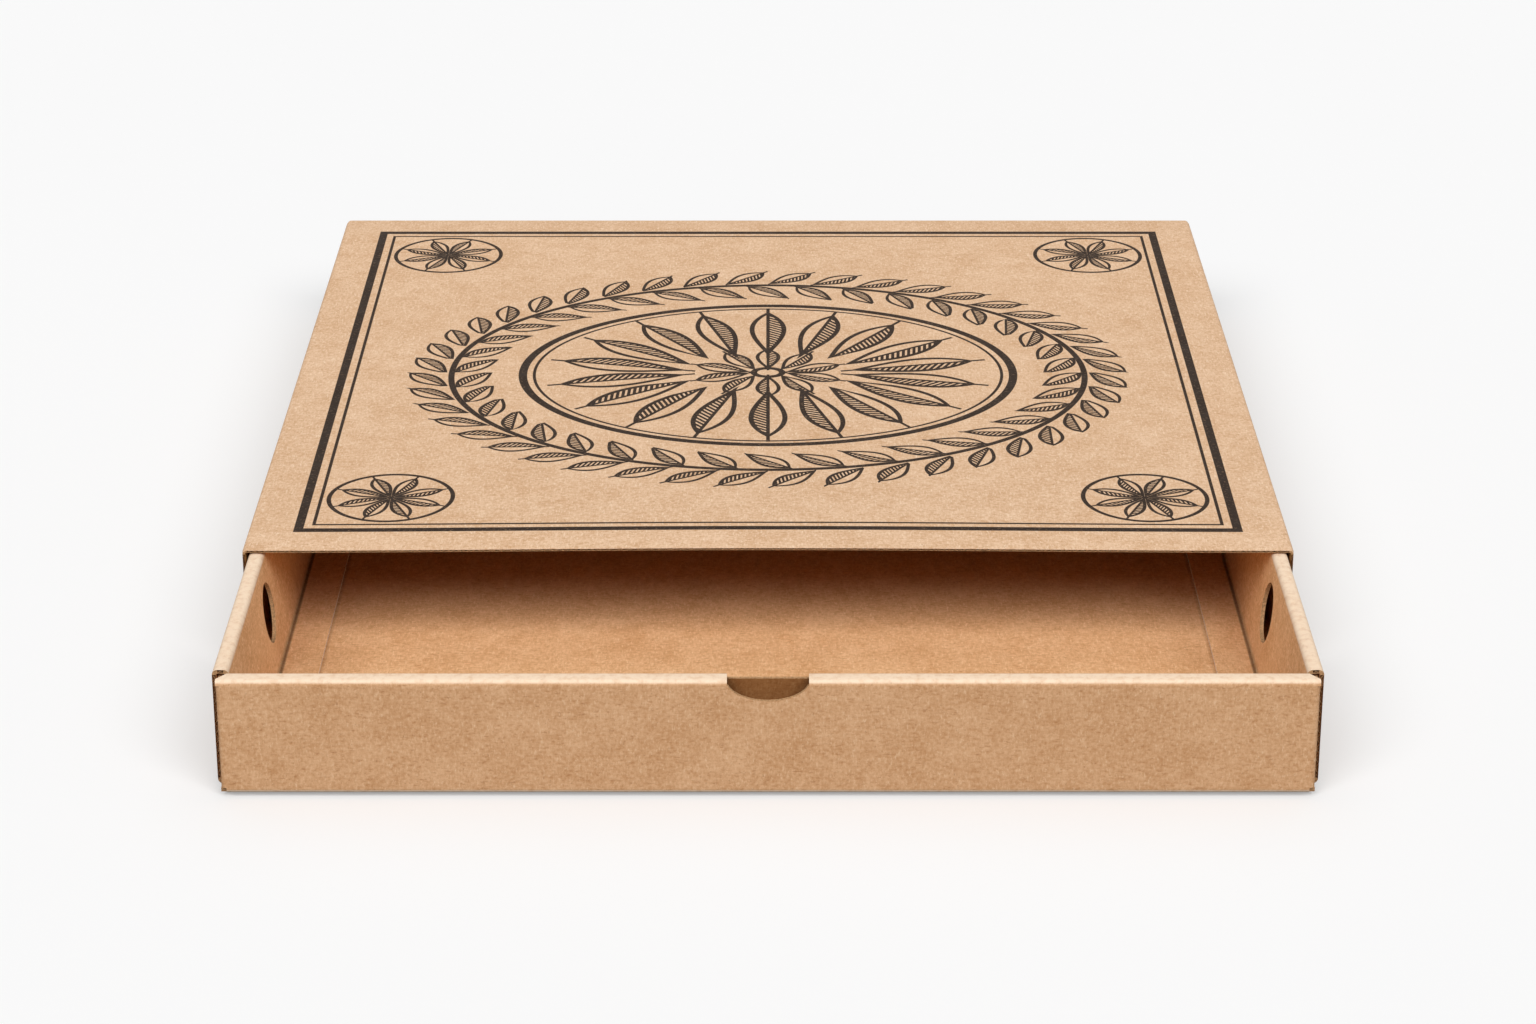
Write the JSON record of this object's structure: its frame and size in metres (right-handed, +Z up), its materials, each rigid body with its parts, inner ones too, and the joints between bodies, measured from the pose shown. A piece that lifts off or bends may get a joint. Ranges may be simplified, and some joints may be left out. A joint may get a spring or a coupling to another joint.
{
  "type": "sliding pizza box",
  "caption": "Flat square food box of brown corrugated board: a folded double-walled tray with a thumb notch and side holes slides out of an open-ended sleeve.",
  "frame": {"origin": "Centre of the sleeve's underside, on the surface that the box lies on.", "axes": "+Z is up, -Y is the way the tray is drawn out, +X is to the right for someone who stands in front of the tray."},
  "size_m": [0.33, 0.423, 0.04],
  "materials": {
    "sleeve_board": "brown kraft corrugated board with dark brown one-colour print",
    "tray_board": "bare brown kraft corrugated board"
  },
  "bodies": {
    "sleeve": {"sleeve": "sleeve_board"},
    "tray": {"tray": "tray_board"}
  },
  "joints": [
    {"name": "tray_slide", "type": "slide", "parent": "sleeve", "child": "tray", "axis": [0, -1, 0], "range_m": [-0.093, 0.247]}
  ]
}
